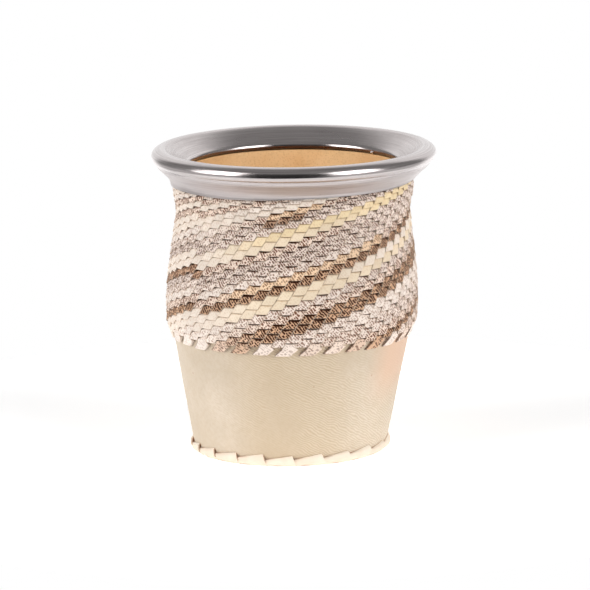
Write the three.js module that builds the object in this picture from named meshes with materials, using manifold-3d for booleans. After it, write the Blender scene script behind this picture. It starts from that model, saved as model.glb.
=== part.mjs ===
// A mate gourd cup, empty: a rawhide body on a round base, a leather lining inside, a spun steel rim
// with a flared lip, a sleeve of thirty-two plaited rawhide strips, and a lace sewn round the base edge.
// Millimetres, +Z up. The front faces -Y. The origin is on the base plane, below the centre of the rim.

import * as THREE from "three";
import { mergeVertices } from "three/addons/utils/BufferGeometryUtils.js";
import Module from "manifold-3d";

const wasm = await Module();
wasm.setup();

const degree = Math.PI / 180;

// Driving dimensions of the whole cup
const cupHeight = 96.5;
const rimRadius = 45;
const mouthRadius = 33.2;
const rollHeight = 94;
const leanDegrees = 1.5;
const gap = 0.3;

// Outer face of the rawhide body, as pairs of height and radius
const wallTop = 89.6;
const bodyOutline = [
  [1.3, 30.2],
  [4.5, 31.1],
  [20, 34.1],
  [36, 37.1],
  [41, 37.75],
  [50, 37.95],
  [60, 37.15],
  [70, 35.85],
  [77, 35.15],
  [83, 36.1],
  [wallTop, 37.1],
];
const bodyCurve = new THREE.SplineCurve(bodyOutline.map(([z, r]) => new THREE.Vector2(z, r)));

// Walls and floors
const bodyWall = 1.6;
const liningWall = 1.5;
const bodyFloor = [1.3, 3.3];
const innerHeights = [12, 36, 50, 64, 77, wallTop];
const cornerRadius = 27.6;

// Steel rim: outer face of the collar and upper face of the funnel, as pairs of height and radius
const sheetThickness = 0.55;
const crestRadius = 41.6;
const lipBottom = 90;
const collarOutline = [
  [85.3, 38.7],
  [87.4, 39.6],
  [90, 42.6],
  [91.9, 44.5],
];
const funnelOutline = [
  [96, 39.7],
  [94.3, 37],
  [91.9, 33.9],
  [91.1, mouthRadius],
  [lipBottom, mouthRadius],
];
const rollAngles = [0, 30, 60, 90];
const dropTurn = 130.6;
const dropRadius = 0.6;

// Plaited sleeve: 32 strips, each seen as a row of slanted cells that climbs round the cup
const stripCount = 32;
const columnCount = 2 * stripCount;
const firstRow = 38.1;
const rowRise = 1.5;
const crowdStart = 72;
const crowding = 0.013;
const columnTurnPerMm = 0.92;
const frontTurn = 5.6;
const sleeveTop = 85;
const lastCell = 33;
const tuck = 0.4;
const fringeTip = 36.8;
const fringeInset = 0.2;

// Heights of a strip's four long edges above the body
const liftOuterLow = 2;
const liftOuterDip = 1.8;
const liftOuterHigh = 1;
const liftInnerLow = 1.45;
const liftInnerHigh = 0.62;
const liftBorderOuter = 1.4;
const liftBorderInner = 0.4;
const liftTipOuter = 0.9;

// Base: a sole, and a lace round its edge with the lace's height and radius at three places on a stitch
const soleRadius = 28.4;
const soleThickness = 1;
const stitchCount = 21;
const stitchPlaces = [
  { along: 0, top: 2.3, outer: 31.2 },
  { along: 0.45, top: 3.1, outer: 31.75 },
  { along: 0.88, top: 3.6, outer: 31.6 },
];
const laceFootRadius = 30.5;
const laceTopRadius = 31.25;
const laceInnerRadius = 30.6;
const laceHeelHeight = 0.8;
const laceWidestHeight = 2.1;
const laceRounding = 0.2;

// Facets round the cup
const bodyFacets = 32;
const rimFacets = 44;

const colours = {
  steel: 0xb4b4b8,
  lining: 0xd9ab74,
  rawhide: 0xe6d7b9,
  lace: 0xead9c0,
  sole: 0xcfb48c,
  cream: 0xebdebe,
  yellow: 0xe4d09c,
  lilac: 0xd2c4c2,
  grey: 0xbfb0ac,
  pink: 0xceb4a8,
  tan: 0xc79f78,
  brown: 0x8a6650,
};

// Colours of the strips, in the order that they cross the front from the base to the rim and round again
const stripColours = [
  "lilac", "brown", "tan", "pink", "lilac", "cream", "cream", "brown",
  "tan", "lilac", "grey", "grey", "pink", "yellow", "yellow", "grey",
  "brown", "tan", "cream", "cream", "pink", "lilac", "pink", "lilac",
  "cream", "lilac", "lilac", "grey", "brown", "pink", "pink", "lilac",
];
const firstInOrder = stripCount - 2;

function material(name, roughness, metalness = 0) {
  return new THREE.MeshStandardMaterial({ color: colours[name], roughness, metalness });
}

// Radius of the body's outer face at a height
function bodyRadius(z) {
  const last = bodyOutline.length - 1;
  let low = 0;
  let high = 1;
  for (let step = 0; step < 30; step++) {
    const middle = (low + high) / 2;
    if (bodyCurve.getPoint(middle).x < z) low = middle;
    else high = middle;
  }
  return z >= bodyOutline[last][0] ? bodyOutline[last][1] : bodyCurve.getPoint(high).y;
}

// A point on the cup: turn in degrees to the right of the front, height, and distance from the axis
function onCup(turn, z, radius) {
  return [radius * Math.sin(turn * degree), -radius * Math.cos(turn * degree), z];
}

// A solid turned about Z from a profile of [radius, height] points
function turned(profile, facets) {
  const points = profile.map(([r, z]) => new THREE.Vector2(r, z));
  return new THREE.LatheGeometry(points, facets).rotateX(Math.PI / 2);
}

function geometryFrom(vertices, triangles) {
  const geometry = new THREE.BufferGeometry();
  geometry.setAttribute("position", new THREE.Float32BufferAttribute(vertices.flat(), 3));
  geometry.setIndex(triangles.flat());
  geometry.computeVertexNormals();
  return geometry;
}

function solidFrom(geometry) {
  const bare = geometry.clone();
  bare.deleteAttribute("normal");
  bare.deleteAttribute("uv");
  const merged = mergeVertices(bare, 1e-3);
  return new wasm.Manifold(
    new wasm.Mesh({
      numProp: 3,
      vertProperties: merged.attributes.position.array,
      triVerts: new Uint32Array(merged.index.array),
    }),
  );
}

function joined(first, second) {
  const mesh = solidFrom(first).add(solidFrom(second)).getMesh();
  const geometry = new THREE.BufferGeometry();
  geometry.setAttribute("position", new THREE.BufferAttribute(mesh.vertProperties, 3));
  geometry.setIndex(new THREE.BufferAttribute(mesh.triVerts, 1));
  geometry.computeVertexNormals();
  return geometry;
}

// Rawhide body: a cup with a flat floor, whose wall follows the outline
function bodyGeometry() {
  const outside = bodyOutline.map(([z, r]) => [r, z]);
  const inside = innerHeights.map((z) => [bodyRadius(z) - bodyWall, z]).reverse();
  const floor = [
    [cornerRadius, bodyFloor[1]],
    [0, bodyFloor[1]],
  ];
  return turned([[0, bodyFloor[0]], ...outside, ...inside, ...floor], bodyFacets);
}

// Leather lining: a cup that stands inside the body
function liningGeometry() {
  const outerOffset = bodyWall + gap;
  const innerOffset = outerOffset + liningWall;
  const bottom = bodyFloor[1] + gap;
  const outside = innerHeights.map((z) => [bodyRadius(z) - outerOffset, z]);
  const inside = innerHeights.map((z) => [bodyRadius(z) - innerOffset, z]).reverse();
  const profile = [
    [0, bottom],
    [cornerRadius - gap, bottom],
    ...outside,
    ...inside,
    [cornerRadius - gap - liningWall, bottom + liningWall],
    [0, bottom + liningWall],
  ];
  return turned(profile, bodyFacets);
}

// Steel rim: flared collar, rolled edge, funnel and inner lip, with one drop of solder on the lip
function rimGeometry() {
  const rollWidth = rimRadius - crestRadius;
  const rollRise = cupHeight - rollHeight;
  const roll = rollAngles.map((angle) => [
    crestRadius + rollWidth * Math.cos(angle * degree),
    rollHeight + rollRise * Math.sin(angle * degree),
  ]);
  const [collarBottom, collarRadius] = collarOutline[0];
  const insideCollar = collarRadius - sheetThickness;
  const collar = collarOutline.map(([z, r]) => [r, z]);
  const funnel = funnelOutline.map(([z, r]) => [r, z]);
  const hidden = [
    [insideCollar, lipBottom],
    [insideCollar, collarBottom],
  ];
  const ring = [...collar, ...roll, ...funnel, ...hidden];
  const drop = new THREE.SphereGeometry(dropRadius, 8, 5);
  drop.translate(...onCup(dropTurn, lipBottom + dropRadius / 2, mouthRadius));
  return joined(turned([...ring, ring[0]], rimFacets), drop);
}

// Height of a row of the weave: the rows are even below and crowd together towards the rim
function rowHeight(row) {
  const even = firstRow + rowRise * row;
  return even - crowding * Math.max(even - crowdStart, 0) ** 2;
}

// Turn of one of the slanted column lines at a height
function columnTurn(column, z) {
  return frontTurn + (column * 360) / columnCount + (z - firstRow) * columnTurnPerMm;
}

// Joins two lines of points that run the same way, taking the nearer step first
function bridge(triangles, first, second) {
  let a = 0;
  let b = 0;
  while (a < first.length - 1 || b < second.length - 1) {
    const stepFirst = a < first.length - 1 ? first[a + 1].at : Infinity;
    const stepSecond = b < second.length - 1 ? second[b + 1].at : Infinity;
    if (stepFirst <= stepSecond) {
      triangles.push([first[a].id, first[a + 1].id, second[b].id]);
      a += 1;
    } else {
      triangles.push([first[a].id, second[b + 1].id, second[b].id]);
      b += 1;
    }
  }
}

// One strip: its lower edge goes up in steps, cell by cell, and its upper edge is tucked under the
// strip above. The first cell runs on down over the plain body as a flat end.
function stripGeometry(strip) {
  const vertices = [];
  const edge = (points) =>
    points.map(([at, column, z, lift, inset = 0]) => {
      const radius = bodyRadius(z) + lift;
      const turn = columnTurn(column, z) + inset / radius / degree;
      vertices.push(onCup(turn, z, radius));
      return { at, id: vertices.length - 1 };
    });
  const coveredHeight = (cell) => rowHeight(cell + 2) + tuck;
  const upperHeight = (cell) => Math.min(coveredHeight(cell), sleeveTop);
  const liftHigh = (low, high, cell) => {
    const seen = Math.min(cell, lastCell);
    const share = (upperHeight(cell) - rowHeight(seen)) / (coveredHeight(seen) - rowHeight(seen));
    return low + (high - low) * share;
  };
  const start = 2 * strip;

  const outerLow = [
    [0, start, fringeTip, liftTipOuter, fringeInset],
    [0.8, start + 1, fringeTip, liftTipOuter, -fringeInset],
    [1, start + 1, rowHeight(1), liftBorderOuter],
    [1.8, start + 2, rowHeight(1), liftBorderOuter],
  ];
  const innerLow = [
    [0, start, fringeTip, gap, fringeInset],
    [0.8, start + 1, fringeTip, gap, -fringeInset],
    [1, start + 1, rowHeight(1), liftBorderInner],
  ];
  const outerHigh = [[0, start, upperHeight(0), liftOuterHigh, fringeInset]];
  const innerHigh = [[0, start, upperHeight(0), liftInnerHigh, fringeInset]];
  for (let cell = 2; cell <= lastCell; cell++) {
    outerLow.push([cell, start + cell, rowHeight(cell), liftOuterLow]);
    outerLow.push([cell + 0.8, start + cell + 1, rowHeight(cell), liftOuterDip]);
    innerLow.push([cell, start + cell, rowHeight(cell), liftInnerLow]);
  }
  for (let cell = 1; cell <= lastCell + 1; cell++) {
    if (cell % 2 === 0 && cell <= lastCell) continue;
    const height = upperHeight(cell);
    outerHigh.push([cell, start + cell, height, liftHigh(liftOuterLow, liftOuterHigh, cell)]);
    innerHigh.push([cell, start + cell, height, liftHigh(liftInnerLow, liftInnerHigh, cell)]);
  }
  innerLow.push([lastCell + 1, start + lastCell + 1, sleeveTop - gap, liftInnerLow]);

  const loop = [outerLow, outerHigh, innerHigh, innerLow].map(edge);
  const triangles = [];
  loop.forEach((line, k) => bridge(triangles, line, loop[(k + 1) % 4]));
  const [a, b, c, d] = loop.map((line) => line[0].id);
  triangles.push([a, b, c], [a, c, d]);
  const [e, f, g, h] = loop.map((line) => line[line.length - 1].id);
  triangles.push([e, h, f], [h, g, f]);
  return geometryFrom(vertices, triangles);
}

// Lace round the base edge: each stitch rises to the right and then drops to the next one
function laceGeometry() {
  const sectionOf = ({ top, outer }) => [
    [soleRadius + gap, 0],
    [laceFootRadius, 0],
    [outer - laceRounding, laceHeelHeight],
    [outer, laceWidestHeight],
    [laceTopRadius, top],
    [laceInnerRadius, soleThickness],
    [soleRadius + gap, soleThickness],
  ];
  const vertices = [];
  for (let stitch = 0; stitch < stitchCount; stitch++) {
    for (const place of stitchPlaces) {
      const turn = ((stitch + place.along) * 360) / stitchCount;
      sectionOf(place).forEach(([r, z]) => vertices.push(onCup(turn, z, r)));
    }
  }
  const sides = sectionOf(stitchPlaces[0]).length;
  const rounds = vertices.length / sides;
  const triangles = [];
  for (let k = 0; k < rounds; k++) {
    const next = ((k + 1) % rounds) * sides;
    for (let side = 0; side < sides; side++) {
      const other = (side + 1) % sides;
      triangles.push([k * sides + side, next + side, next + other]);
      triangles.push([k * sides + side, next + other, k * sides + other]);
    }
  }
  return geometryFrom(vertices, triangles);
}

function soleGeometry() {
  const disc = new THREE.CylinderGeometry(soleRadius, soleRadius, soleThickness, bodyFacets);
  return disc.rotateX(Math.PI / 2).translate(0, 0, soleThickness / 2);
}

function piece(name, geometry, look) {
  const mesh = new THREE.Mesh(geometry, look);
  mesh.name = name;
  return mesh;
}

// The cup was bent by hand: each level is shifted sideways in step with its height
const cup = new THREE.Group();
const lean = Math.tan(leanDegrees * degree);
cup.matrixAutoUpdate = false;
cup.matrix.set(1, 0, lean, -lean * rollHeight, 0, 1, 0, 0, 0, 0, 1, 0, 0, 0, 0, 1);

cup.add(piece("rim", rimGeometry(), material("steel", 0.3, 1)));
cup.add(piece("lining", liningGeometry(), material("lining", 0.75)));
cup.add(piece("body", bodyGeometry(), material("rawhide", 0.6)));
cup.add(piece("base_lace", laceGeometry(), material("lace", 0.6)));
cup.add(piece("sole", soleGeometry(), material("sole", 0.7)));

const sleeve = new THREE.Group();
for (let strip = 0; strip < stripCount; strip++) {
  const name = "strip_" + String(strip + 1).padStart(2, "0");
  const order = (firstInOrder - strip + stripCount) % stripCount;
  sleeve.add(piece(name, stripGeometry(strip), material(stripColours[order], 0.65)));
}
cup.add(sleeve);

const part = new THREE.Group();
part.add(cup);

export default part;
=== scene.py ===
"""An empty mate gourd cup: spun steel rim, leather lining, rawhide body, plaited sleeve and laced base."""

import math
import random
from collections import namedtuple

import bmesh
import bpy
from mathutils import Matrix, Vector, noise


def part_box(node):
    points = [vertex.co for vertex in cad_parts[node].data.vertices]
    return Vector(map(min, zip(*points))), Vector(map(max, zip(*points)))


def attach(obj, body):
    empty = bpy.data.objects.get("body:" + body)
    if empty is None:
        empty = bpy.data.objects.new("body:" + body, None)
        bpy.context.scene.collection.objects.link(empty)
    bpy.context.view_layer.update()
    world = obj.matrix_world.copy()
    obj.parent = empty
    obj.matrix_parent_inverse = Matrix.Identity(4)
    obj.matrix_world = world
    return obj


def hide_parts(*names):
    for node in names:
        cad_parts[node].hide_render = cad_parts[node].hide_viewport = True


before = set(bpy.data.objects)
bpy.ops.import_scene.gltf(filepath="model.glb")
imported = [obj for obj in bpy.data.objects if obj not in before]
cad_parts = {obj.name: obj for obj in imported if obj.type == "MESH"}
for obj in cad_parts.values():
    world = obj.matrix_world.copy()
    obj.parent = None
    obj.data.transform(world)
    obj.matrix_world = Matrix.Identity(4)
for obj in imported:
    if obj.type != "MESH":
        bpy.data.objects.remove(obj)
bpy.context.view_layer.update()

MM = 0.001

# Sizes in millimetres. The whole cup is read from the frame, and the rest is the cup's own plan.
rim_low, rim_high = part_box("rim")
cup_height = rim_high[2] / MM
rim_radius = (rim_high[1] - rim_low[1]) / 2 / MM
lean = math.tan(math.radians(1.5))

# Rim: its roll is an oval bead, the collar hangs below it and the funnel leads to the lip inside
roll_rise = 2.5
roll_reach = 3.4
roll_height = cup_height - roll_rise
roll_start = -58
roll_end = 90
roll_steps = 14
collar_end = 85.3
collar_lift = 0.55
collar_tilt = 0.65
collar_wave = 0.12
collar_wave_top = 88
collar_outline = [
    (38.7, collar_end),
    (38.95, 86.4),
    (39.6, 87.6),
    (40.95, 89.0),
    (42.3, 90.2),
    (43.0, 90.9),
]
lip_end = 89.95
funnel_outline = [
    (41.2, 96.48),
    (39.7, 96.0),
    (37, 94.3),
    (33.9, 91.95),
    (33.3, 91.3),
    (33.2, 90.7),
    (33.4, 90.2),
    (34.0, lip_end),
]
rim_inside = 38.15

# Finishes of the steel, as roughness and darkness, and the radii and heights where they meet; the darkness
# under the lip's curl is painted shade
shaded_lip_underside = (0.3, 0.9, 0)
polished_lip = (0.14, 0, 0)
polished_drop = (0.15, 0, 0)
satin_funnel = (0.3, 0, 0)
polished_roll = (0.2, 0, 0)
dull_collar = (0.38, 0.14, 0)
edge_radius = 34.5
edge_top = 91.0
lip_radius = 34.2
funnel_radius = 40.5
funnel_low = 90.2
roll_low = 91.5

# Drop of solder on the lip
drop_turn = 130.6
drop_height = 90.4
drop_radius = 33.2
drop_size = 0.6
drop_flatness = 0.85

# Body and lining
body_foot = 1.3
wall_top = 89.6
body_outline = [
    (body_foot, 30.2),
    (4.5, 31.1),
    (20, 34.1),
    (36, 37.1),
    (41, 37.75),
    (50, 37.95),
    (60, 37.15),
    (70, 35.85),
    (77, 35.15),
    (83, 36.1),
    (wall_top, 37.1),
]
body_wall = 1.6
lining_wall = 1.5
lining_bend = 12
gap = 0.3
floor_top = 3.3
corner_radius = 27.6

# Plaited sleeve: rows of cells that crowd together towards the rim, in columns that climb to the right
strip_count = 32
column_count = 2 * strip_count
first_in_order = strip_count - 2
first_row = 38.1
row_rise = 1.5
crowd_start = 72
crowding = 0.013
column_turn_per_mm = 0.92
front_turn = 5.6
sleeve_end = 86.2
cell_count = 36
tuck_start = 83.5
tuck_length = 2
tuck_depth = 0.5

# Cells of the plait: a lift is a height above the body, and a bend is the width along an edge where the
# top bends down
cell_width = 3.78
cell_lift = 2.0
cell_drop = 0.42
crown_rise = 0.07
side_bend = 0.22
side_drop = 0.03
seam_drop = 0.09
foot_bend = 0.24
foot_drop = 0.13
head_bend = 0.45
head_drop = 0.28
corner_round = 0.12
pale_width = 0.24
# Width of the painted shade below a cell's slit
slit_width = 0.14
lens_least = 0.25
lens_power = 0.6
notch_least = 0.3
notch_height = 2.1
notch_start = 0.66
notch_turn = 12
notch_turn_range = 45
# Width of the painted shadow along a cell's left seam
seam_shadow_width = 0.22
dive_step = 0.02
dive_lift = 0.95
dive_end_lift = 0.7
dive_length = 0.25
across = (0, 0.012, 0.04, 0.1, 0.25, 0.5, 0.75, 0.9, 0.96, 0.988, 1)
upward = (0, 0.02, 0.06, 0.14, 0.3, 0.5, 0.7, 0.84, 0.93, 0.975, 1)

# Direction of the hair marks over a cell, up and to the left, and the distance between their rows
hair_rise = 0.766
hair_side = 0.643
stroke_pitch = 0.74

# Tongues at the sleeve's lower edge: below their top they lean, in degrees for each millimetre down, and
# move and spread to the right, in columns. The second cell lies between a tongue and the plait.
tongue_tip = 36.8
tongue_top = 39.8
tongue_lean = 0.7
tongue_shift = 0.12
tongue_spread = 0.42
tongue_inset = 0.1
tongue_corner = 0.4
# Darkness and width of the painted shadow along a tongue's left side
tongue_seam_shadow = 0.85
tongue_seam_shadow_width = 0.36
tongue_marks = 0.55
tongue_lift = 0.85
tongue_climb = 0.75
second_lift = 1.45
second_climb = 0.1
underside = 0.2

# Base
sole_radius = 28.4
sole_top = 1
stitch_count = 21
stitch_height = 2.2
stitch_radius = 31.1
stitch_swell = 0.5
stitch_belly = 0.25
stitch_foot = 1.0
stitch_head = 0.45
stitch_overlap = 0.1
stitch_slant = 0.16
lace_thickness = 0.75

# Ripples of the body: their phase for each radian round and each metre up
ripple_turn = 130.0
ripple_rise = 7600.0

# Stretches of the body, in radians from the front: where each begins, is full, begins to fade and ends
rippled = (-0.9, 0.2, 2.2, 3.1)
# The front stretch is painted shade
front_shade_stretch = (-0.75, -0.25, 0.3, 0.75)
blushed = (0.65, 1.05, 1.7, 2.6)

# Softboxes: where they begin, are full, begin to fade and end, in radians to each side and in rise
softbox_sides = (0.62, 0.86, 1.18, 1.48)
softbox_rise = (-0.05, 0.05, 0.66, 0.8)
softbox_turn = 0.11

# Table, with its radius in metres, and brightness of the studio round the cup
table_radius = 0.17
table_sides = 96
table_light = 0.45
softbox_left = 4.9
softbox_right = 4.6
back_light = 0.75
front_light = 0.03
room_light = 0.24
ceiling_light = 0.24
low_light = 0.35

# Light through the mouth, in watts, metres and degrees
mouth_power = 12.5
mouth_target = Vector((0, 0.02, 0.09))
mouth_rise = 38
mouth_beam = 3.1

# Camera, in metres and degrees
camera_target = Vector((-0.00025, 0, 0.0485))
camera_distance = 1.427
camera_rise = 11.2
camera_roll = -0.9
camera_lens = 274.7

Look = namedtuple("Look", "tone mark amount long slit seam")
Patch = namedtuple("Patch", "order start end look")


def linear(red, green, blue):
    """Linear colour of an sRGB colour given as 0 to 255."""
    parts = [c / 255 for c in (red, green, blue)]
    return tuple(c / 12.92 if c < 0.04045 else ((c + 0.055) / 1.055) ** 2.4 for c in parts)


# Each look of a strip: its ground, its hair marks, their strength and length, the slit above a cell, which
# also sets how dark the painted shade at the slit is, and how dark the painted shadow in the seams at its
# sides is
looks = {
    "pale": Look(linear(247, 233, 219), linear(206, 174, 148), 0.4, 0.6, 0.24, 0.45),
    "cream": Look(linear(244, 225, 198), linear(206, 172, 130), 0.3, 0.5, 0.2, 0.45),
    "yellow": Look(linear(246, 224, 184), linear(206, 166, 112), 0.3, 0.5, 0.2, 0.55),
    "white": Look(linear(250, 237, 226), linear(182, 150, 130), 0.7, 0.6, 0.34, 0.3),
    "lilac": Look(linear(249, 233, 221), linear(150, 116, 98), 1.05, 0.5, 0.42, 0.12),
    "grey": Look(linear(241, 223, 211), linear(118, 86, 70), 1.2, 0.4, 0.44, 0.08),
    "pink": Look(linear(250, 228, 211), linear(122, 78, 56), 1.15, 0.6, 0.44, 0.08),
    "tan": Look(linear(250, 218, 184), linear(136, 88, 52), 0.9, 0.7, 0.46, 0.1),
    "brown": Look(linear(228, 184, 148), linear(68, 32, 12), 1.9, 0.7, 0.68, 0.1),
    "orange": Look(linear(220, 178, 146), linear(84, 44, 20), 1.6, 0.7, 0.6, 0.1),
    "dark": Look(linear(190, 152, 124), linear(52, 26, 14), 1.3, 0.7, 0.5, 0.0),
}

# Looks at the left, the middle and the right of the front, for the strips in the order that they cross it
strip_looks = [
    ("white", "lilac", "white"),
    ("pink", "brown", "brown"),
    ("pink", "brown", "brown"),
    ("white", "pink", "pink"),
    ("white", "lilac", "lilac"),
    ("pale", "cream", "cream"),
    ("pale", "cream", "pale"),
    ("brown", "brown", "brown"),
    ("pink", "tan", "pink"),
    ("white", "lilac", "lilac"),
    ("lilac", "grey", "lilac"),
    ("grey", "grey", "lilac"),
    ("pink", "pink", "lilac"),
    ("pale", "cream", "yellow"),
    ("pale", "yellow", "yellow"),
    ("grey", "lilac", "lilac"),
    ("lilac", "grey", "grey"),
    ("white", "pink", "pink"),
    ("pale", "pale", "cream"),
    ("pale", "white", "lilac"),
    ("pink", "pink", "brown"),
    ("pale", "lilac", "lilac"),
    ("pink", "lilac", "lilac"),
    ("white", "lilac", "white"),
    ("pale", "pale", "white"),
    ("white", "white", "pink"),
    ("white", "lilac", "lilac"),
    ("lilac", "grey", "brown"),
    ("pink", "brown", "pink"),
    ("lilac", "pink", "lilac"),
    ("pink", "pink", "lilac"),
    ("lilac", "lilac", "white"),
]

# Degrees from the front where the middle look ends, a side's look begins and the back begins
middle_end = 8
side_start = 50
back_start = 150

# Stretches of a strip, in degrees from the front, whose look changes at once
patches = [
    Patch(16, -14, 8, "dark"),
    Patch(17, -15, 14, "tan"),
    Patch(12, -95, -44, "orange"),
    Patch(8, -30, 50, "tan"),
]

# Places and curves


def smooth(value):
    """Smooth step of a value from 0 to 1."""
    value = min(max(value, 0), 1)
    return value * value * (3 - 2 * value)


def mix(first, second, weight):
    return tuple(a + (b - a) * weight for a, b in zip(first, second))


def curve_at(points, place):
    """A point of an even spline through points: place 2.5 is halfway between the points 2 and 3."""
    last = len(points) - 1
    k = min(int(place), last - 1)
    t = place - k
    near = [points[min(max(k + n, 0), last)] for n in (-1, 0, 1, 2)]
    found = []
    for p0, p1, p2, p3 in zip(*near):
        v0 = (p2 - p0) / 2
        v1 = (p3 - p1) / 2
        cubic = 2 * p1 - 2 * p2 + v0 + v1
        square = 3 * p2 - 3 * p1 - 2 * v0 - v1
        found.append(cubic * t**3 + square * t**2 + v0 * t + p1)
    return tuple(found)


def rounded(points, steps):
    """An even spline through points, with a number of steps between each two."""
    return [curve_at(points, k / steps) for k in range(steps * (len(points) - 1) + 1)]


def body_radius(z):
    """Radius of the body's outer face, found by halving along its outline."""
    if z >= wall_top:
        return body_outline[-1][1]
    low, high = 0.0, float(len(body_outline) - 1)
    for _ in range(30):
        middle = (low + high) / 2
        if curve_at(body_outline, middle)[0] < z:
            low = middle
        else:
            high = middle
    return curve_at(body_outline, high)[1]


radius_steps = 20
radius_table = [body_radius(k / radius_steps) for k in range(int(wall_top * radius_steps) + 2)]


def wall_radius(z):
    """The body's radius, read from a fine table."""
    place = min(max(z, 0) * radius_steps, len(radius_table) - 2)
    k = int(place)
    return radius_table[k] + (radius_table[k + 1] - radius_table[k]) * (place - k)


def on_cup(turn, z, radius):
    """A point in metres: degrees to the right of the front, height, distance from the leaning axis."""
    angle = math.radians(turn)
    x = radius * math.sin(angle) + lean * (z - roll_height)
    return (x * MM, -radius * math.cos(angle) * MM, z * MM)


def row_height(row):
    """Height of a row of the weave: the rows are even below and crowd together towards the rim."""
    even = first_row + row_rise * row
    return even - crowding * max(even - crowd_start, 0) ** 2


def column_turn(column, z):
    """Turn of a column of the weave at a height."""
    return front_turn + column * 360 / column_count + (z - first_row) * column_turn_per_mm


def uneven(turn, z, size, depth):
    """Soft unevenness of a wall, the same where the turn closes."""
    angle = math.radians(turn)
    around = 38
    place = Vector((math.cos(angle) * around, math.sin(angle) * around, z)) / size
    return depth * noise.noise(place)


# Pieces from lists of points and faces


def piece(name, vertices, faces, material, node, sharp=35, values=None):
    """A mesh piece that stands for a node, with named values at its points."""
    mesh = bpy.data.meshes.new(name)
    mesh.from_pydata(vertices, [], faces)
    shape = bmesh.new()
    shape.from_mesh(mesh)
    bmesh.ops.recalc_face_normals(shape, faces=shape.faces)
    shape.to_mesh(mesh)
    shape.free()
    mesh.shade_smooth()
    mesh.set_sharp_from_angle(angle=math.radians(sharp))
    for key, rows in (values or {}).items():
        width = len(rows[0])
        kind, field = ("FLOAT_COLOR", "color") if width == 4 else ("FLOAT_VECTOR", "vector")
        layer = mesh.attributes.new(key, kind, "POINT")
        layer.data.foreach_set(field, [v for row in rows for v in row])
    mesh.materials.append(material)
    made = bpy.data.objects.new(name, mesh)
    bpy.context.scene.collection.objects.link(made)
    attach(made, "root")
    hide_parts(node)


def band(low, high):
    """Faces between two closed loops of points, of which one may be a single point repeated."""
    faces = []
    for k in range(len(low)):
        n = (k + 1) % len(low)
        face = list(dict.fromkeys((low[k], low[n], high[n], high[k])))
        if len(face) > 2:
            faces.append(face)
    return faces


def sheet(grid):
    """Faces between the neighbouring lines of a grid of points."""
    faces = []
    for first, second in zip(grid, grid[1:]):
        for k in range(len(first) - 1):
            faces.append((first[k], first[k + 1], second[k + 1], second[k]))
    return faces


def border(grid):
    """The points round a grid's edge, as a closed loop."""
    right = [line[-1] for line in grid[1:]]
    left = [line[0] for line in grid[-2:0:-1]]
    return list(grid[0]) + right + list(grid[-1][-2::-1]) + left


def turned(profile, segments, wobble=None, closed=True):
    """A profile of (radius, height) turned round the axis: points, faces and places.

    A point's place is its length along the profile, its height and its radius.
    """
    vertices, rings, places = [], [], []
    length = 0
    before = profile[0]
    for radius, z in profile:
        length += math.dist(before, (radius, z))
        before = (radius, z)
        start = len(vertices)
        if radius == 0:
            rings.append([start] * segments)
            vertices.append(on_cup(0, z, 0))
            places.append((length, z, 0))
            continue
        rings.append(range(start, start + segments))
        for k in range(segments):
            turn = 360 * k / segments
            dr, dz = wobble(turn, radius, z) if wobble else (0, 0)
            vertices.append(on_cup(turn, z + dz, radius + dr))
            places.append((length, z, radius))
    pairs = list(zip(rings, rings[1:]))
    if closed:
        pairs.append((rings[-1], rings[0]))
    faces = [face for low, high in pairs for face in band(low, high)]
    return vertices, faces, places


# Material nodes


def add(tree, kind, inputs=None, **settings):
    """A node with its settings, and its inputs given as values or as other nodes' outputs."""
    made = tree.nodes.new("ShaderNode" + kind)
    for name, value in settings.items():
        setattr(made, name, value)
    for name, value in (inputs or {}).items():
        if isinstance(value, bpy.types.NodeSocket):
            tree.links.new(value, made.inputs[name])
        else:
            made.inputs[name].default_value = value
    return made


def maths(tree, operation, first, second=0.0, third=0.0):
    return add(tree, "Math", {0: first, 1: second, 2: third}, operation=operation).outputs[0]


def product(tree, first, second):
    return maths(tree, "MULTIPLY", first, second)


def ramp(tree, value, low, high, start=0.0, end=1.0):
    """Value from low to high mapped smoothly to start and end."""
    inputs = {"Value": value, "From Min": low, "From Max": high, "To Min": start, "To Max": end}
    return add(tree, "MapRange", inputs, interpolation_type="SMOOTHSTEP").outputs[0]


def window(tree, value, edges):
    """1 between the inner two of four edges, falling smoothly to 0 at the outer two."""
    begin, full, fade, end = edges
    return product(tree, ramp(tree, value, begin, full), ramp(tree, value, end, fade))


def blend(tree, weight, first, second):
    """Colour mixed from first to second."""
    return add(tree, "Mix", {0: weight, 6: first, 7: second}, data_type="RGBA").outputs[2]


def between(tree, weight, first, second):
    """Number mixed from first to second."""
    return add(tree, "Mix", {0: weight, 2: first, 3: second}).outputs[0]


def scaled(tree, vector, scale):
    return add(tree, "VectorMath", {0: vector, 1: scale}, operation="MULTIPLY").outputs[0]


def cloud(tree, vector, scale, detail=3.0, roughness=0.55):
    inputs = {"Vector": vector, "Scale": scale, "Detail": detail, "Roughness": roughness}
    return add(tree, "TexNoise", inputs).outputs[0]


def dots(tree, vector, scale):
    """Distance from the nearest of many scattered points."""
    return add(tree, "TexVoronoi", {"Vector": vector, "Scale": scale}).outputs["Distance"]


def attribute(tree, name):
    return add(tree, "Attribute", attribute_name=name)


def object_place(tree):
    return add(tree, "TexCoord").outputs["Object"]


def surface(name, metallic=0.0, roughness=0.6, specular=0.4):
    """A new material: its tree and its shader."""
    material = bpy.data.materials.new(name)
    material.use_nodes = True
    tree = material.node_tree
    shader = tree.nodes["Principled BSDF"]
    shader.inputs["Metallic"].default_value = metallic
    shader.inputs["Roughness"].default_value = roughness
    shader.inputs["Specular IOR Level"].default_value = specular
    return material, tree, shader


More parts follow.
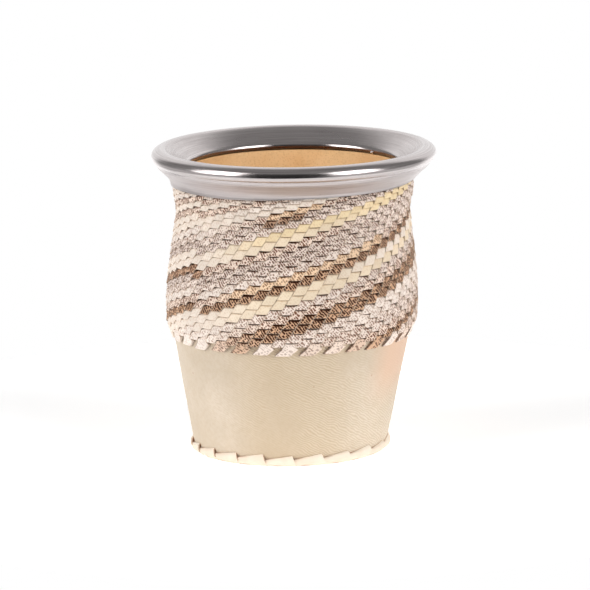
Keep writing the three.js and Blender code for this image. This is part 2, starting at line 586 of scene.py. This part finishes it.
def connect(tree, shader, colour, height, strength, distance, roughness=None):
    """Gives a shader its colour and relief, and its roughness where that varies."""
    tree.links.new(colour, shader.inputs["Base Color"])
    relief = add(tree, "Bump", {"Strength": strength, "Distance": distance, "Height": height})
    tree.links.new(relief.outputs[0], shader.inputs["Normal"])
    if roughness is not None:
        tree.links.new(roughness, shader.inputs["Roughness"])


def colour_of(red, green, blue):
    """A node's colour, of an sRGB colour given as 0 to 255."""
    return (*linear(red, green, blue), 1.0)


def hair_strokes(tree, grain, strength, length):
    """Short strokes in rows along the hair: more of them where they are strong, and longer or shorter."""
    sides = add(tree, "SeparateXYZ", {0: grain})
    wander = product(tree, cloud(tree, grain, 0.6, 2.0), 1.6)
    row = maths(tree, "ADD", maths(tree, "DIVIDE", sides.outputs[0], stroke_pitch), wander)
    centred = maths(tree, "PINGPONG", row, 0.5)
    run = product(tree, sides.outputs[1], between(tree, length, 1.9, 0.9))
    own = product(tree, maths(tree, "FLOOR", row), 5.7)
    dashes = cloud(tree, add(tree, "CombineXYZ", {0: own, 1: run}).outputs[0], 1.0, 1.0)
    start = maths(tree, "MULTIPLY_ADD", strength, -0.06, 0.49)
    drawn = ramp(tree, dashes, start, maths(tree, "ADD", start, 0.09))
    strokes = product(tree, ramp(tree, centred, 0.1, 0.26), drawn)
    patchy = ramp(tree, cloud(tree, grain, 0.55), 0.3, 0.6, 0.6, 1.0)
    return product(tree, product(tree, strokes, strength), patchy)


def strip_material():
    """Rawhide strips: each cell brings its ground, its hair marks, painted shade at its slit and seam, and
    its pale edge.
    """
    material, tree, shader = surface("plaited_rawhide", roughness=0.65, specular=0.25)
    tone = attribute(tree, "tone")
    mark = attribute(tree, "mark")
    shade = add(tree, "SeparateColor", {0: attribute(tree, "shade").outputs["Color"]})
    grain = attribute(tree, "grain").outputs["Vector"]
    strength = tone.outputs["Alpha"]
    marks = hair_strokes(tree, grain, strength, mark.outputs["Alpha"])
    mottled = product(tree, ramp(tree, cloud(tree, grain, 1.6), 0.3, 0.75, 0.0, 0.14), strength)
    ground = blend(tree, mottled, tone.outputs["Color"], mark.outputs["Color"])
    marked = blend(tree, marks, ground, mark.outputs["Color"])
    edged = blend(tree, product(tree, shade.outputs[1], 0.6), marked, colour_of(238, 220, 198))
    # Painted shade: dark brown at the slits, along the seams, where a cell dives, and on its sides and
    # underside
    colour = blend(tree, shade.outputs[0], edged, colour_of(72, 34, 12))
    height = maths(tree, "SUBTRACT", cloud(tree, grain, 5.0, 2.0), product(tree, marks, 0.5))
    connect(tree, shader, colour, height, 0.5, 0.00008)
    return material


def steel_material():
    """Spun steel: lines round the axis and a few specks; the finish says how rough and how dark it is, and
    the darkness under the lip is painted shade.
    """
    material, tree, shader = surface("spun_steel", metallic=1.0, roughness=0.25, specular=0.5)
    where = object_place(tree)
    along = add(tree, "SeparateXYZ", {0: attribute(tree, "along").outputs["Vector"]})
    spin = scaled(tree, add(tree, "CombineXYZ", {2: along.outputs[0]}).outputs[0], (0, 0, 9))
    drift = scaled(tree, where, (40, 40, 0))
    lines = add(tree, "VectorMath", {0: spin, 1: drift}, operation="ADD").outputs[0]
    turning = cloud(tree, lines, 1.0, 4.0, 0.7)
    smudges = cloud(tree, where, 60.0, 3.0)
    shown = ramp(tree, turning, 0.36, 0.64)
    lined = blend(tree, shown, colour_of(186, 177, 176), colour_of(220, 213, 212))
    specks = ramp(tree, dots(tree, where, 150.0), 0.02, 0.05, 0.5, 0.0)
    specked = blend(tree, specks, lined, colour_of(96, 82, 76))
    finish_and_shade = add(tree, "SeparateXYZ", {0: attribute(tree, "finish_and_shade").outputs["Vector"]})
    # Darkness from the finish; under the lip's curl it is painted shade
    colour = blend(tree, finish_and_shade.outputs[1], specked, colour_of(120, 100, 92))
    rough = maths(tree, "ADD", finish_and_shade.outputs[0], ramp(tree, smudges, 0.35, 0.7, -0.03, 0.06))
    connect(tree, shader, colour, turning, 0.25, 0.00004, rough)
    return material


def leather_material(name, roughness, pore_scale, cloud_scale, tones, pore_tone=None):
    """Smooth leather: soft clouds of colour and fine pores, which may be darker."""
    material, tree, shader = surface(name, roughness=roughness, specular=0.25)
    where = object_place(tree)
    pores = dots(tree, where, pore_scale)
    shown = ramp(tree, cloud(tree, where, cloud_scale, 4.0), 0.3, 0.7)
    colour = blend(tree, shown, colour_of(*tones[0]), colour_of(*tones[1]))
    if pore_tone:
        colour = blend(tree, ramp(tree, pores, 0.1, 0.5, 0.25, 0.0), colour, colour_of(*pore_tone))
    connect(tree, shader, colour, pores, 0.4, 0.00015)
    return material


def lining_material():
    tones = ((226, 180, 126), (242, 202, 150))
    return leather_material("tan_leather", 0.75, 1500.0, 45.0, tones, (176, 124, 78))


def sole_material():
    return leather_material("sole_leather", 0.7, 1300.0, 70.0, ((198, 170, 130), (214, 188, 150)))


def ripples(tree, where, turn, height):
    """Ripples of the rawhide, from -1 to 1: slanting, in patches, and fainter at the left and the back."""
    slow = product(tree, cloud(tree, where, 90.0, 2.0), 17.0)
    quick = product(tree, cloud(tree, where, 340.0, 1.0), 12.0)
    phase = maths(tree, "ADD", product(tree, turn, ripple_turn), product(tree, height, ripple_rise))
    waves = maths(tree, "SINE", maths(tree, "ADD", phase, maths(tree, "ADD", slow, quick)))
    patch = ramp(tree, cloud(tree, where, 45.0, 2.0), 0.36, 0.58, 0.25, 1.0)
    share = maths(tree, "MULTIPLY_ADD", window(tree, turn, rippled), 0.65, 0.35)
    return product(tree, waves, product(tree, patch, share))


def rawhide_material():
    """Pale rawhide body: painted shade towards the front, blushed at the right, painted highlight and
    shade on the ripples, and painted dark shade where the sleeve covers it.
    """
    material, tree, shader = surface("rawhide", roughness=0.55, specular=0.35)
    where = object_place(tree)
    parts = add(tree, "SeparateXYZ", {0: where})
    height = parts.outputs[2]
    leaning = product(tree, maths(tree, "SUBTRACT", height, roll_height * MM), -lean)
    x = maths(tree, "ADD", parts.outputs[0], leaning)
    turn = maths(tree, "ARCTAN2", x, product(tree, parts.outputs[1], -1.0))
    ripple = ripples(tree, where, turn, height)
    fine = cloud(tree, where, 900.0, 3.0)
    clouds = ramp(tree, cloud(tree, where, 40.0, 3.0), 0.3, 0.7)
    ground = blend(tree, clouds, colour_of(206, 190, 169), colour_of(222, 207, 189))
    # Painted shade: browner towards the front
    front_shaded = blend(tree, product(tree, window(tree, turn, front_shade_stretch), 0.36), ground, colour_of(198, 172, 134))
    mottled = blend(tree, ramp(tree, fine, 0.35, 0.7, 0.0, 0.3), front_shaded, colour_of(196, 174, 142))
    # Painted highlight on the ripple crests and painted shade along the ripple lines
    crest_highlight = blend(tree, ramp(tree, ripple, 0.0, -1.0, 0.0, 0.25), mottled, colour_of(238, 224, 200))
    lined = blend(tree, ramp(tree, ripple, 0.0, 1.0, 0.0, 0.38), crest_highlight, colour_of(188, 162, 122))
    specks = ramp(tree, dots(tree, where, 110.0), 0.02, 0.045, 0.6, 0.0)
    specked = blend(tree, specks, lined, colour_of(168, 110, 66))
    blush = product(tree, window(tree, turn, blushed), ramp(tree, height, 0.013, 0.03))
    warm = blend(tree, product(tree, blush, 0.62), specked, colour_of(232, 190, 162))
    # Painted shade: dark brown on the body where the sleeve covers it
    sleeve_shade = ramp(tree, height, 0.0393, 0.041)
    colour = blend(tree, sleeve_shade, warm, colour_of(84, 52, 30))
    relief = maths(tree, "SUBTRACT", fine, product(tree, ripple, 0.45))
    connect(tree, shader, colour, relief, 0.5, 0.0001)
    return material


def lace_material():
    """Pale rawhide lace, with painted shade in its notches, along the slot at its top and on its
    underside.
    """
    material, tree, shader = surface("rawhide_lace", roughness=0.55, specular=0.35)
    where = object_place(tree)
    shade = add(tree, "SeparateColor", {0: attribute(tree, "shade").outputs["Color"]})
    clouds = ramp(tree, cloud(tree, where, 160.0, 3.0), 0.3, 0.7)
    ground = blend(tree, clouds, colour_of(238, 220, 200), colour_of(244, 232, 214))
    # Painted shade in the notches, the top slot and the underside, and a darker mark near the bottom
    colour = blend(tree, shade.outputs[0], ground, colour_of(146, 84, 36))
    connect(tree, shader, colour, cloud(tree, where, 800.0), 0.3, 0.0001)
    return material


# Sleeve


def blended(first, second, weight):
    """A look between two looks."""
    tone = mix(first.tone, second.tone, weight)
    mark = mix(first.mark, second.mark, weight)
    return Look(tone, mark, *mix(first[2:], second[2:], weight))


def strip_look(order, turn):
    """A strip's look where it passes a turn from the front: blended between its three looks.

    At the left the looks belong to the strip that comes one place earlier.
    """
    turn = (turn + 180) % 360 - 180
    if -back_start < turn < -side_start:
        order = (order - 1) % strip_count
    left, middle, right = (looks[name] for name in strip_looks[order])
    for patch in patches:
        if order == patch.order and patch.start < turn < patch.end:
            return looks[patch.look]
    side = left if turn < 0 else right
    other = right if turn < 0 else left
    if abs(turn) > back_start:
        return blended(side, other, 0.5 * smooth((abs(turn) - back_start) / (180 - back_start)))
    return blended(middle, side, smooth((abs(turn) - middle_end) / (side_start - middle_end)))


class Strip:
    """A strip that is being built: its points with their places, the values at them, and its faces."""

    def __init__(self):
        self.vertices = []
        self.places = []
        self.faces = []
        self.values = {"grain": [], "tone": [], "mark": [], "shade": []}

    def add_point(self, turn, z, radius, values):
        """Adds a point with its values and gives its number."""
        self.vertices.append(on_cup(turn, z, radius))
        self.places.append((turn, z))
        for key, value in values.items():
            self.values[key].append(value)
        return len(self.vertices) - 1

    def add_below(self, index, radius, shade):
        """Adds a point below another one, at another radius, with its values apart from the shade."""
        values = {key: rows[index] for key, rows in self.values.items()}
        values["shade"] = shade
        return self.add_point(*self.places[index], radius, values)


class Cell:
    """One slanted cell of a strip, from its lower end up to where it dives under the strip above."""

    def __init__(self, strip_number, number, chance):
        self.number = number
        self.is_end = number == 0
        self.row = row_height(number)
        self.top = row_height(number + 2)
        self.start_column = 2 * strip_number + number
        if self.is_end:
            self.low = tongue_tip + chance.uniform(-0.2, 0.2)
        else:
            self.low = self.row + chance.uniform(-0.06, 0.06)
        middle = column_turn(self.start_column + 0.5, row_height(number + 1))
        look = strip_look((first_in_order - strip_number) % strip_count, middle + chance.uniform(-2, 2))
        self.look = look
        self.lift = cell_lift + chance.uniform(-0.12, 0.08)
        self.tilt = chance.uniform(-0.08, 0.08)
        self.slit = look.slit * chance.uniform(0.5, 1.3)
        self.skew = chance.uniform(-0.5, 0.7)
        # How dark the painted shade is at the slit and where the cell dives, and along the left seam
        self.dark = 0.2 + 0.75 * smooth((look.slit - 0.15) / 0.35)
        self.seam = tongue_seam_shadow if self.is_end else look.seam * chance.uniform(0.2, 1.1)
        self.seam_shadow_width = tongue_seam_shadow_width if self.is_end else seam_shadow_width
        self.facing = (middle + 180) % 360 - 180
        self.inset = tongue_inset if self.is_end else 0.01 + 0.03 * look.seam
        self.corner = tongue_corner if self.is_end else corner_round
        brightness = chance.uniform(0.93, 1.05)
        self.offset = (chance.uniform(0, 60), chance.uniform(0, 60))
        amount = look.amount * tongue_marks if self.is_end else look.amount
        self.tone = (*(c * brightness for c in look.tone), amount)
        self.mark = (*look.mark, look.long)

    def base_lift(self, z):
        """Height of the cell above the body: the two lowest cells climb from the body to the plait."""
        climbed = (z - self.low) / (self.top - self.low)
        if self.is_end:
            return tongue_lift + tongue_climb * smooth(climbed)
        if self.number == 1:
            return second_lift + second_climb * smooth((z - self.low) / 1.4)
        return self.lift - cell_drop * climbed

    def top_lift(self, s, z, end):
        """Height of the cell's top above the body, s across it from 0 to 1, where it ends at a height."""
        x = s * cell_width
        side = 1 - min(1, min(x, cell_width - x) / side_bend)
        foot = 1 - min(1, (z - self.low) / foot_bend)
        head = 1 - min(1, max(end - z, 0) / head_bend)
        bent = (side_drop + seam_drop * self.seam) * side**2 + foot_drop * foot**2 + head_drop * head**2
        crown = crown_rise * (1 - (2 * s - 1) ** 2)
        return self.base_lift(z) + crown + self.tilt * (s - 0.5) - bent

    def bottom_lift(self, z):
        """Height of the cell's underside above the body."""
        if self.number < 2:
            return underside
        return 0.95 - 0.6 * (z - self.low) / (self.top - self.low + 0.4)

    def end_at(self, s):
        """Height where the cell ends: the slit above is a lens at the front and a notch further round."""
        outer = s if self.facing > 0 else 1 - s
        lens = lens_least + (1 - lens_least) * math.sin(math.pi * s) ** lens_power
        lens *= 1 + self.skew * (2 * s - 1)
        notch = notch_least + notch_height * max(outer - notch_start, 0) / (1 - notch_start)
        cornered = smooth((abs(self.facing) - notch_turn) / notch_turn_range)
        return self.top - self.slit * (lens + (notch - lens) * cornered)

    def turn_at(self, s, z, radius):
        """Turn of a point: the sides are drawn in a little, and the lower corners are round."""
        short = max(self.corner - (z - self.low), 0)
        round_off = self.corner - math.sqrt(max(self.corner**2 - short**2, 0))
        drawn_in = math.degrees((self.inset + round_off) / radius) * (1 - 2 * s)
        if not self.is_end:
            return column_turn(self.start_column + s, z) + drawn_in
        spread = smooth((tongue_top - z) / 0.7) * (tongue_shift + tongue_spread * s)
        leaned = tongue_lean * max(tongue_top - z, 0)
        return column_turn(self.start_column + s + spread, z) + drawn_in - leaned

    def add_point(self, strip, s, z, height, dark, pale):
        """Adds a point of the cell to its strip; near the rim the top is tucked under the collar."""
        radius = wall_radius(z) + height
        turn = self.turn_at(s, z, radius)
        z = min(z, sleeve_end)
        if height > 1:
            radius -= tuck_depth * smooth((z - tuck_start) / tuck_length)
        y = z - self.row
        x = s * cell_width + y * 0.6
        aside = x * hair_rise + y * hair_side + self.offset[0]
        along = y * hair_rise - x * hair_side + self.offset[1]
        shade = (dark, pale, 0, 1)
        values = {"grain": (aside, along, 0), "tone": self.tone, "mark": self.mark, "shade": shade}
        return strip.add_point(turn, z, radius, values)

    def top_point(self, strip, s, v):
        """Adds a point of the cell's top, s across and v up: painted shade at slit and seam, pale at the
        edges.
        """
        end = self.end_at(s)
        z = self.low + v * (end - self.low)
        x = s * cell_width
        nearest = min(x, cell_width - x, z - self.low + 0.05)
        pale = smooth(1 - nearest / pale_width) * (1 - self.look.seam)
        slit_shade_here = self.dark * smooth(1 - (end - z) / slit_width)
        seam_shadow_here = self.seam * smooth(1 - x / self.seam_shadow_width) * smooth(1.5 - 1.3 * v)
        return self.add_point(strip, s, z, self.top_lift(s, z, end), max(slit_shade_here, seam_shadow_here), pale)

    def dive_line(self, strip, heights, lift):
        """Adds a line of points across the cell, painted dark as shade, where it dives under the next
        strip.
        """
        return [self.add_point(strip, s, z, lift, self.dark, 0) for s, z in zip(across, heights)]

    def build(self, strip):
        """Adds the cell to its strip: the top, the end that dives, the sides and the underside."""
        grid = [[self.top_point(strip, s, v) for s in across] for v in upward]
        grid.append(self.dive_line(strip, [self.end_at(s) + dive_step for s in across], dive_lift))
        grid.append(self.dive_line(strip, [self.top + dive_length] * len(across), dive_end_lift))
        strip.faces += sheet(grid)
        upper = border(grid)
        under = []
        for index in upper:
            z = strip.places[index][1]
            radius = wall_radius(z) + self.bottom_lift(z)
            # The sides and the underside are painted darker as shade
            under.append(strip.add_below(index, radius, (0.2 + 0.3 * self.look.seam, 0.1, 0, 1)))
        strip.faces += band(upper, under)
        strip.faces.append(tuple(under))


def make_sleeve(material):
    chance = random.Random(32)
    for strip_number in range(strip_count):
        strip = Strip()
        for number in range(cell_count):
            if row_height(number) < sleeve_end - 0.3:
                Cell(strip_number, number, chance).build(strip)
        name = f"{strip_number + 1:02d}"
        piece("plait_" + name, strip.vertices, strip.faces, material, "strip_" + name, values=strip.values)


# Rim, lining, body and base


def finish_and_shade_at(z, radius):
    """The finish of the steel at a height and radius; under the lip's curl its darkness is painted shade.
    """
    if radius < edge_radius and z < edge_top:
        return shaded_lip_underside
    if radius < funnel_radius and z > funnel_low:
        return satin_funnel if radius > lip_radius else polished_lip
    return polished_roll if z > roll_low else dull_collar


def make_rim(material):
    roll = []
    for step in range(roll_steps + 1):
        angle = math.radians(roll_start + step * (roll_end - roll_start) / roll_steps)
        out = rim_radius - roll_reach + roll_reach * math.cos(angle)
        roll.append((out, roll_height + roll_rise * math.sin(angle)))
    hidden = [(rim_inside, lip_end), (rim_inside, collar_end)]
    profile = rounded(collar_outline, 5) + roll + rounded(funnel_outline, 6) + hidden

    def wobble(turn, radius, z):
        """Lifts the collar's lower edge, which is higher at the right and waves a little."""
        share = smooth((collar_wave_top - z) / (collar_wave_top - collar_end))
        wave = collar_wave * math.sin(math.radians(5 * turn + 40))
        return 0, (collar_lift + collar_tilt * math.sin(math.radians(turn)) + wave) * share

    vertices, faces, along = turned(profile, 256, wobble)
    finish_and_shade = [finish_and_shade_at(z, radius) for _, z, radius in along]
    add_drop(vertices, faces, along, finish_and_shade)
    piece("steel_rim", vertices, faces, material, "rim", values={"along": along, "finish_and_shade": finish_and_shade})


def add_drop(vertices, faces, along, finish_and_shade):
    """One drop of solder on the inner lip, at the far right."""
    rings, sides = 8, 12
    centre = on_cup(drop_turn, drop_height, drop_radius)
    grid = []
    for ring in range(rings + 1):
        line = []
        tall = math.pi * ring / rings
        out = drop_size * math.sin(tall)
        up = drop_size * drop_flatness * math.cos(tall)
        for side in range(sides):
            angle = 2 * math.pi * side / sides
            offset = (out * math.cos(angle), out * math.sin(angle), up)
            vertices.append(tuple(c + d * MM for c, d in zip(centre, offset)))
            along.append((0, drop_height, drop_radius))
            finish_and_shade.append(polished_drop)
            line.append(len(vertices) - 1)
        grid.append(line)
    for low, high in zip(grid, grid[1:]):
        faces += band(low, high)


def make_lining(material):
    outer = body_wall + gap
    inner = outer + lining_wall
    low = floor_top + gap
    high = low + lining_wall
    steps = 50
    flat_start = 20
    heights = [wall_top - k * (wall_top - lining_bend) / steps for k in range(steps + 1)]
    outside = [(wall_radius(z) - outer, z) for z in reversed(heights)]
    inside = [(wall_radius(z) - inner, z) for z in heights]
    corner = corner_radius - gap - lining_wall
    curve = rounded([inside[-1], (28.6, 9.5), (27.4, 6.9), (corner, 5.3), (22, high)], 5)
    floor = [(radius, high) for radius in (16, 10, 5, 2, 0)]
    bottom = [(0, low), (corner_radius - gap, low)]

    def wobble(turn, radius, z):
        if radius < flat_start:
            return 0, uneven(turn, radius, 9, 0.05) * radius / flat_start
        return uneven(turn, z, 12, 0.15), 0

    profile = bottom + outside + inside[:-1] + curve + floor
    vertices, faces, _ = turned(profile, 160, wobble, closed=False)
    piece("leather_lining", vertices, faces, material, "lining")


def make_body(material):
    steps = 150
    heights = [body_foot + k * (wall_top - body_foot) / steps for k in range(steps + 1)]
    outside = [(wall_radius(z), z) for z in heights]
    inside = [(wall_radius(z) - body_wall, z) for z in reversed(heights[10::10])]
    bottom = [(radius, body_foot) for radius in (0, 20, 30.1)]
    floor = [(corner_radius, floor_top), (0, floor_top)]

    def wobble(turn, radius, z):
        if radius > wall_radius(z) - 0.5 and z > 2:
            return uneven(turn, z, 14, 0.16) + uneven(turn, z, 3.5, 0.05), 0
        return 0, 0

    vertices, faces, _ = turned(bottom + outside[1:] + inside + floor, 256, wobble, closed=False)
    piece("rawhide_body", vertices, faces, material, "body")


def stitch_places(number, chance):
    """Turn, height, radius and darkness over one stitch, which rises to the right and bellies out: the
    darkness is painted shade in the notch at its left end and in the slot along its top, and a darker mark
    near its bottom at one place.
    """
    steps, rows = 22, 12
    pitch = 360 / stitch_count
    rise = chance.uniform(-0.2, 0.2)
    slope = chance.uniform(1.35, 1.75)
    dark_mark_place = chance.uniform(0.15, 0.6)
    lines = []
    for k in range(steps + 1):
        s = k / steps
        top = stitch_height + rise + slope * s
        outer = stitch_radius + stitch_swell * smooth(s / 0.6)
        line = []
        for n in range(rows + 1):
            v = n / rows
            z = 0.05 + (top - 0.05) * v
            foot = stitch_foot * (1 - smooth(v / 0.35))
            head = stitch_head * smooth((v - 0.85) / 0.15)
            belly = stitch_belly * math.sin(math.pi * min(v / 0.9, 1))
            along = s * (1 + stitch_overlap) - stitch_overlap / 2 + stitch_slant * (1 - v) * s
            seam = smooth(1 - s / 0.1) * smooth((v - 0.4) / 0.3)
            slot = smooth((v - 0.9) / 0.07) * smooth((0.55 - s) / 0.35)
            low = smooth(1 - v / 0.12) * smooth(1 - abs(s - dark_mark_place) / 0.2)
            dark = min(seam + slot + 0.8 * low, 1)
            line.append(((number + along) * pitch, z, outer - foot - head + belly, dark))
        lines.append(line)
    return lines


def make_lace(material):
    """Whip stitches round the base edge, each lying over the next one: an upper and a lower sheet."""
    chance = random.Random(21)
    vertices, faces, shade = [], [], []

    def add_sheet(lines, thickness, drop):
        """Adds the points of a sheet, drawn in and lowered, and gives the grid of their numbers."""
        grid = []
        for line in lines:
            numbers = []
            for turn, z, radius, dark in line:
                x, y, _ = on_cup(turn, z, radius - thickness)
                height = max(z - drop, 0.02) * MM
                vertices.append((x, y, height))
                # The underside sheet is painted fully dark as shade
                shade.append((1 if thickness else dark, 0, 0, 1))
                numbers.append(len(vertices) - 1)
            grid.append(numbers)
        return grid

    for number in range(stitch_count):
        lines = stitch_places(number, chance)
        upper = add_sheet(lines, 0, 0)
        under = add_sheet(lines, lace_thickness, 0.1)
        faces += sheet(upper) + sheet(under) + band(border(upper), border(under))
    piece("base_lacing", vertices, faces, material, "base_lace", sharp=50, values={"shade": shade})


def make_sole(material):
    edge = [(sole_radius, 0.15), (sole_radius, 0.85), (sole_radius - 0.2, sole_top)]
    profile = [(0, 0), (14, 0), (sole_radius - 0.3, 0), *edge, (14, sole_top), (0, sole_top)]
    vertices, faces, _ = turned(profile, 128, closed=False)
    piece("sole_disc", vertices, faces, material, "sole")


# Floor, light and camera


def make_floor():
    """A round white table lit from inside, whose edge is lost in the white background."""
    mesh = bpy.data.meshes.new("floor")
    angles = [math.tau * k / table_sides for k in range(table_sides)]
    ring = [(math.sin(angle) * table_radius, math.cos(angle) * table_radius, 0) for angle in angles]
    mesh.from_pydata(ring, [], [tuple(reversed(range(table_sides)))])
    material, _, shader = surface("white_table", roughness=0.9, specular=0.0)
    shader.inputs["Base Color"].default_value = (0.9, 0.9, 0.9, 1)
    shader.inputs["Emission Color"].default_value = (1, 1, 1, 1)
    shader.inputs["Emission Strength"].default_value = table_light
    mesh.materials.append(material)
    floor = bpy.data.objects.new("floor", mesh)
    bpy.context.scene.collection.objects.link(floor)


def make_world():
    """White to the camera; round the cup tall softboxes at both sides, a bright back and a dim front."""
    world = bpy.data.worlds.new("studio")
    bpy.context.scene.world = world
    world.use_nodes = True
    tree = world.node_tree
    tree.nodes.clear()
    parts = add(tree, "SeparateXYZ", {0: add(tree, "TexCoord").outputs["Generated"]})
    turn = maths(tree, "ARCTAN2", parts.outputs[0], product(tree, parts.outputs[1], -1.0))
    rise = parts.outputs[2]
    aside = maths(tree, "ABSOLUTE", maths(tree, "ADD", turn, softbox_turn))
    shape = product(tree, window(tree, aside, softbox_sides), window(tree, rise, softbox_rise))
    softboxes = product(tree, shape, ramp(tree, turn, -1.0, 1.0, softbox_left, softbox_right))
    backdrop = product(tree, ramp(tree, aside, 2.2, 2.6), ramp(tree, rise, 0.85, 0.6, 0.0, back_light))
    from_table = product(tree, ramp(tree, aside, 0.45, 0.75, 0.0, low_light), ramp(tree, rise, 0.0, -0.12))
    low_room = ramp(tree, aside, 0.5, 0.9, front_light, room_light)
    room = ramp(tree, rise, 0.4, 0.95, low_room, ceiling_light)
    bright = maths(tree, "ADD", softboxes, backdrop)
    total = maths(tree, "ADD", bright, maths(tree, "ADD", from_table, room))
    seen = add(tree, "LightPath").outputs["Is Camera Ray"]
    strength = between(tree, seen, total, 1.0)
    background = add(tree, "Background", {"Color": (1, 1, 1, 1), "Strength": strength})
    out = add(tree, "OutputWorld")
    tree.links.new(background.outputs[0], out.inputs[0])


def towards_viewer(rise):
    """Direction from the cup to the front, a number of degrees up."""
    up = math.radians(rise)
    return Vector((0, -math.cos(up), math.sin(up)))


def make_mouth_light():
    """A narrow light through the mouth for the leather; the steel doesn't reflect it."""
    light = bpy.data.lights.new("mouth_light", "SPOT")
    light.energy = mouth_power
    light.spot_size = math.radians(mouth_beam)
    light.spot_blend = 0.5
    light.shadow_soft_size = 0.03
    lamp = bpy.data.objects.new("mouth_light", light)
    bpy.context.scene.collection.objects.link(lamp)
    lamp.visible_glossy = False
    away = towards_viewer(mouth_rise)
    facing = away.to_track_quat("Z", "Y").to_matrix().to_4x4()
    lamp.matrix_world = Matrix.Translation(mouth_target + away) @ facing


def make_camera():
    """The photograph's view: a long lens a little above the rim, with a slight roll."""
    data = bpy.data.cameras.new("camera")
    data.sensor_width = 36
    data.lens = camera_lens
    data.clip_end = 20
    camera = bpy.data.objects.new("camera", data)
    bpy.context.scene.collection.objects.link(camera)
    eye = camera_target + camera_distance * towards_viewer(camera_rise)
    facing = (camera_target - eye).to_track_quat("-Z", "Y").to_matrix().to_4x4()
    roll = Matrix.Rotation(math.radians(camera_roll), 4, "Z")
    camera.matrix_world = Matrix.Translation(eye) @ facing @ roll
    bpy.context.scene.camera = camera


make_camera()
make_sleeve(strip_material())
make_rim(steel_material())
make_lining(lining_material())
make_body(rawhide_material())
make_lace(lace_material())
make_sole(sole_material())
make_floor()
make_world()
make_mouth_light()
bpy.context.scene.view_settings.view_transform = "Standard"
